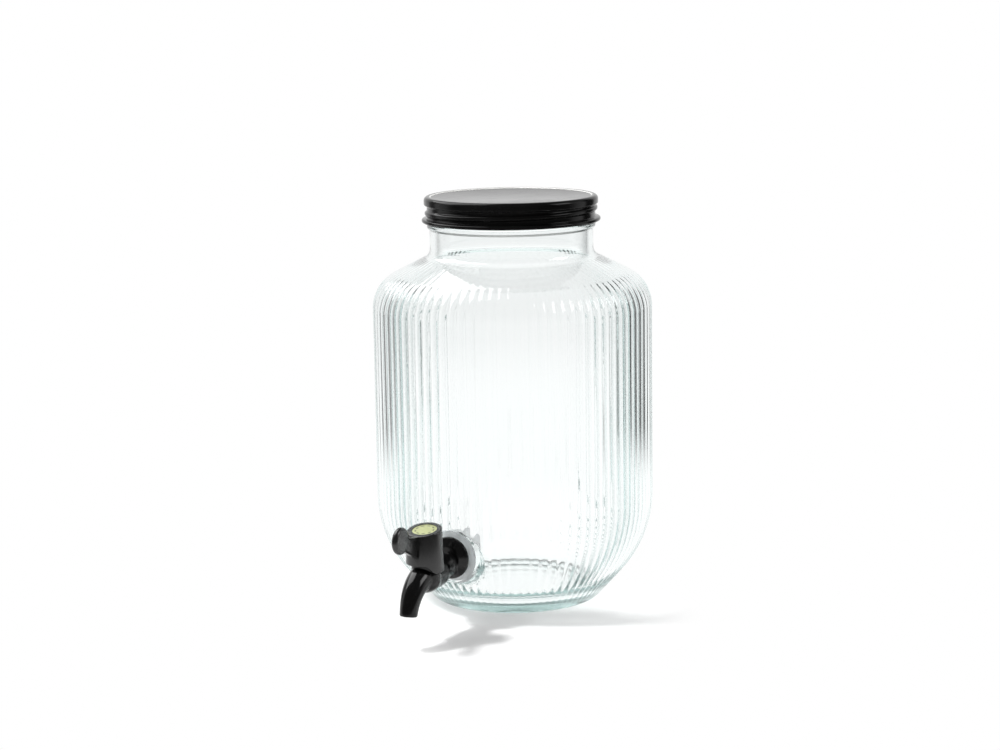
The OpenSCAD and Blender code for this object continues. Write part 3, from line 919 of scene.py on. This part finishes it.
pale_shades = ((0.80, 0.81, 0.82), (0.88, 0.89, 0.90))
gloss_black = moulded_plastic("black_gloss_plastic", [0.0015] * 3, [0.004] * 3,
                              rough=0.12, spread=0.08, gloss=0.35)
satin_black = moulded_plastic("black_satin_plastic", [0.004] * 3, [0.008] * 3,
                              rough=0.22, spread=0.05, gloss=0.75)
white_plastic = moulded_plastic("white_moulded_plastic", *pale_shades, rough=0.35, spread=0.15, gloss=0.5)
black_lacquer = lacquered_steel("black_lacquered_steel", [0.002] * 3, [0.005] * 3, gloss=0.15)
pale_lacquer = lacquered_steel("pale_lacquered_steel", (0.70, 0.70, 0.68), (0.78, 0.78, 0.76), gloss=0.5)
black_rubber = soft_rubber("black_rubber", (0.018, 0.018, 0.018), (0.035, 0.035, 0.034))
white_rubber = soft_rubber("white_silicone", *pale_shades)

piece(ribbed_jar(), "ribbed_jar", clear_glass(), "jar", "glass_jar", crease=30)
line_inside(piece(screw_lid(), "screw_lid", black_lacquer, "lid", "lid_shell"), pale_lacquer)
piece(tap_casting(), "tap_casting", gloss_black, "jar", "tap_body")
piece(handle_lever(), "handle_lever", satin_black, "handle", "tap_handle")
piece(badge(), "badge_foil", gold_foil(slanted_top().translation), "handle", "badge_disc")
piece(flat_ring(hole_r, outer_washer_r, seat_y + glass_gap, flange_y, outer_washer_edge),
      "outer_seal", white_rubber, "jar", "outer_washer")
piece(flat_ring(hole_r, inner_washer_r, nut_y, glass_in_y - glass_gap, inner_washer_edge),
      "inner_seal", white_rubber, "jar", "inner_washer")
piece(back_nut(), "back_nut", white_plastic, "jar", "lock_nut", crease=25)

for node, finish in (("lid_liner", white_rubber), ("valve_plug", white_plastic),
                     ("upper_o_ring", black_rubber), ("lower_o_ring", black_rubber)):
    slots = frame["nodes"][node].data.materials
    slots.clear()
    slots.append(finish)


# Studio

azimuth = math.radians(26.5)
elevation = math.radians(10.96)
camera_distance = 1.4
target = Vector((0, 0, 0.120))
picture = (1000, 750)
target_pixel = (513.4, 405.8)
focal_pixels = 2229
roll = math.radians(-0.9)
sensor = 36

white = (1, 1, 1, 1)
table_r = 1.5
# The camera sees shade on the table round this point, which fades out between these distances.
shade_centre = (0.029, -0.059)
shade_fade = (0.055, 0.115)
# Two dark flags beside the white backdrop, in degrees right of its middle: set in, full, last full, end
right_flag = (36, 44, 60, 70)
right_flag_dark = 0.95
left_flag = (-40, -48, -57, -65)
left_flag_dark = 0.8
# The room in front of the backdrop, on both sides from the first to the second angle
front_room = (math.radians(80), math.radians(100))
front_room_dark = 0.92
# The ceiling dims between these heights of a direction.
ceiling_span = (0.4, 0.65)
ceiling_dark = 0.75
# How much of the dark room in front gloss sees beyond the table and on it
wall_front = 0.95
table_gloss = 0.9
# How much of the dark room and ceiling shows through the glass
through_share = 0.1
# Distances on the table over which the flags and the room in front set in
table_flags = (0.3, 0.6)
table_front = (0.3, 0.55)
# How bright dull surfaces, gloss and glass find the white round them
dull_level = 0.5
gloss_level = 0.94
through_level = 0.95
# Through the glass the white gains this much towards the table's middle, over these heights and distances.
horizon_gain = 0.12
horizon_heights = (-0.12, -0.195)
horizon_distances = (1.4, 0.6)


def studio_camera():
    """The photograph's view: the target stands right of and below the middle of the picture."""
    back = Vector((math.sin(azimuth) * math.cos(elevation), -math.cos(azimuth) * math.cos(elevation),
                   math.sin(elevation)))
    right = Vector((math.cos(azimuth), math.sin(azimuth), 0))
    up = back.cross(right)
    pixel = camera_distance / focal_pixels
    aim = (target - right * (target_pixel[0] - picture[0] / 2) * pixel
           + up * (target_pixel[1] - picture[1] / 2) * pixel)
    place = target + back * camera_distance
    data = bpy.data.cameras.new("camera")
    data.sensor_width = sensor
    data.lens = sensor * focal_pixels / picture[0]
    made = bpy.data.objects.new("camera", data)
    bpy.context.scene.collection.objects.link(made)
    turn = (aim - place).to_track_quat("-Z", "Y").to_matrix().to_4x4()
    made.matrix_world = Matrix.Translation(place) @ turn @ Matrix.Rotation(roll, 4, "Z")
    bpy.context.scene.camera = made


def soft_box(name, place, aim_height, size, power, shown=True, lit=True):
    """A square lamp that gloss sees if it is shown, and that lights dull surfaces if it is lit."""
    data = bpy.data.lights.new(name, "AREA")
    data.shape = "SQUARE"
    data.size = size
    data.energy = power
    made = bpy.data.objects.new(name, data)
    bpy.context.scene.collection.objects.link(made)
    made.visible_glossy = shown
    made.visible_transmission = False
    made.visible_diffuse = lit
    aim = Vector((0, 0, aim_height)) - Vector(place)
    made.matrix_world = Matrix.Translation(place) @ aim.to_track_quat("-Z", "Y").to_matrix().to_4x4()


def strip(n, angle, degrees):
    """1 between the second and third angle, and 0 outside the first and the last."""
    start, full, last, end = (math.radians(value) for value in degrees)
    return n.smooth(angle, start, full) * n.smooth(angle, end, last)


def dark_sides(n, x, y):
    """How dark a horizontal direction is: at the flags beside the backdrop, and in the room before it."""
    ahead = y * math.cos(azimuth) - x * math.sin(azimuth)
    side = x * math.cos(azimuth) + y * math.sin(azimuth)
    around = side.math("ARCTAN2", ahead)
    right = strip(n, around, right_flag) * right_flag_dark
    left = strip(n, around, left_flag) * left_flag_dark
    front = n.smooth(around.math("ABSOLUTE"), *front_room) * front_room_dark
    return right.math("MAXIMUM", left), front


def seen_by(n, *kinds):
    """1 for rays of these kinds, else 0."""
    flags = [n.add("ShaderNodeLightPath", out=f"Is {kind} Ray") for kind in kinds]
    return sum(flags[1:], flags[0]).math("MINIMUM", 1.0)


def pale_floor():
    """A round white table that keeps the shade near the object; gloss and glass see the dark room on it."""
    bm = bmesh.new()
    bmesh.ops.create_circle(bm, cap_ends=True, segments=96, radius=table_r)
    mesh = bpy.data.meshes.new("pale_floor")
    bm.to_mesh(mesh)
    bm.free()
    made, n = material("pale_floor")
    x, y, _ = n.split(n.place())
    distance = (x * x + y * y).math("SQRT")
    off_x = x - shade_centre[0]
    off_y = y - shade_centre[1]
    near = (off_x * off_x + off_y * off_y).math("SQRT")
    camera = seen_by(n, "Camera")
    through = seen_by(n, "Transmission")
    gloss = seen_by(n, "Glossy") * (1 - through)
    flags, front = dark_sides(n, x, y)
    flags = flags * n.smooth(distance, *table_flags)
    front = front * n.smooth(distance, *table_front) * (gloss * table_gloss + through * through_share)
    dark = flags.math("MAXIMUM", front) * (1 - camera)
    glow = 1 + through * (n.smooth(distance, *horizon_distances) * horizon_gain - (1 - through_level))
    plain = (n.smooth(near, *shade_fade) * seen_by(n, "Camera", "Glossy")).math("MAXIMUM", through)
    shaded = n.add("ShaderNodeBsdfDiffuse", inputs={"Color": (0.9, 0.9, 0.9, 1)})
    bright = n.add("ShaderNodeEmission", inputs={"Color": white, "Strength": (1 - dark) * glow})
    surface(n, Surface=n.add("ShaderNodeMixShader", inputs={0: plain, 1: shaded, 2: bright}))
    mesh.materials.append(made)
    floor = bpy.data.objects.new("pale_floor", mesh)
    bpy.context.scene.collection.objects.link(floor)


def studio_world():
    """White for the camera, dimmer for dull surfaces; gloss and glass also see the room's dark parts."""
    world = bpy.data.worlds.new("studio")
    world.use_nodes = True
    bpy.context.scene.world = world
    n = Nodes(world.node_tree)
    x, y, z = n.split(n.place("Generated"))
    camera = seen_by(n, "Camera")
    through = seen_by(n, "Transmission")
    gloss = seen_by(n, "Glossy") * (1 - through)
    dull = 1 - gloss - through - camera
    flags, front = dark_sides(n, x, y)
    high = n.smooth(z, *ceiling_span)
    room = (front * wall_front).math("MAXIMUM", high * ceiling_dark) * (gloss + through * through_share)
    dark = (flags * (1 - high)).math("MAXIMUM", room)
    below = n.smooth(z, *horizon_heights) * horizon_gain
    bright = gloss * gloss_level + through * (through_level + below)
    level = (1 - dark) * bright + dull * dull_level + camera
    shader = n.add("ShaderNodeBackground", inputs={"Color": white, "Strength": level})
    n.add("ShaderNodeOutputWorld", inputs={"Surface": shader})


studio_camera()
pale_floor()
studio_world()
soft_box("left_fill", (-0.83, -0.87, 1.0), 0.12, 0.7, 5, shown=False)
soft_box("left_panel", (-0.82, 0.0, 1.23), 0.2, 1.2, 18, lit=False)
soft_box("right_box", (1.18, 0.24, 0.9), 0.12, 0.6, 4.5)
soft_box("key_lamp", (-0.65, -0.48, 1.38), 0.1, 0.18, 18, shown=False)
bpy.context.scene.view_settings.view_transform = "Standard"

# Light has to pass many walls of glass.
bpy.context.scene.cycles.max_bounces = 32
bpy.context.scene.cycles.transmission_bounces = 32
bpy.context.scene.cycles.glossy_bounces = 12
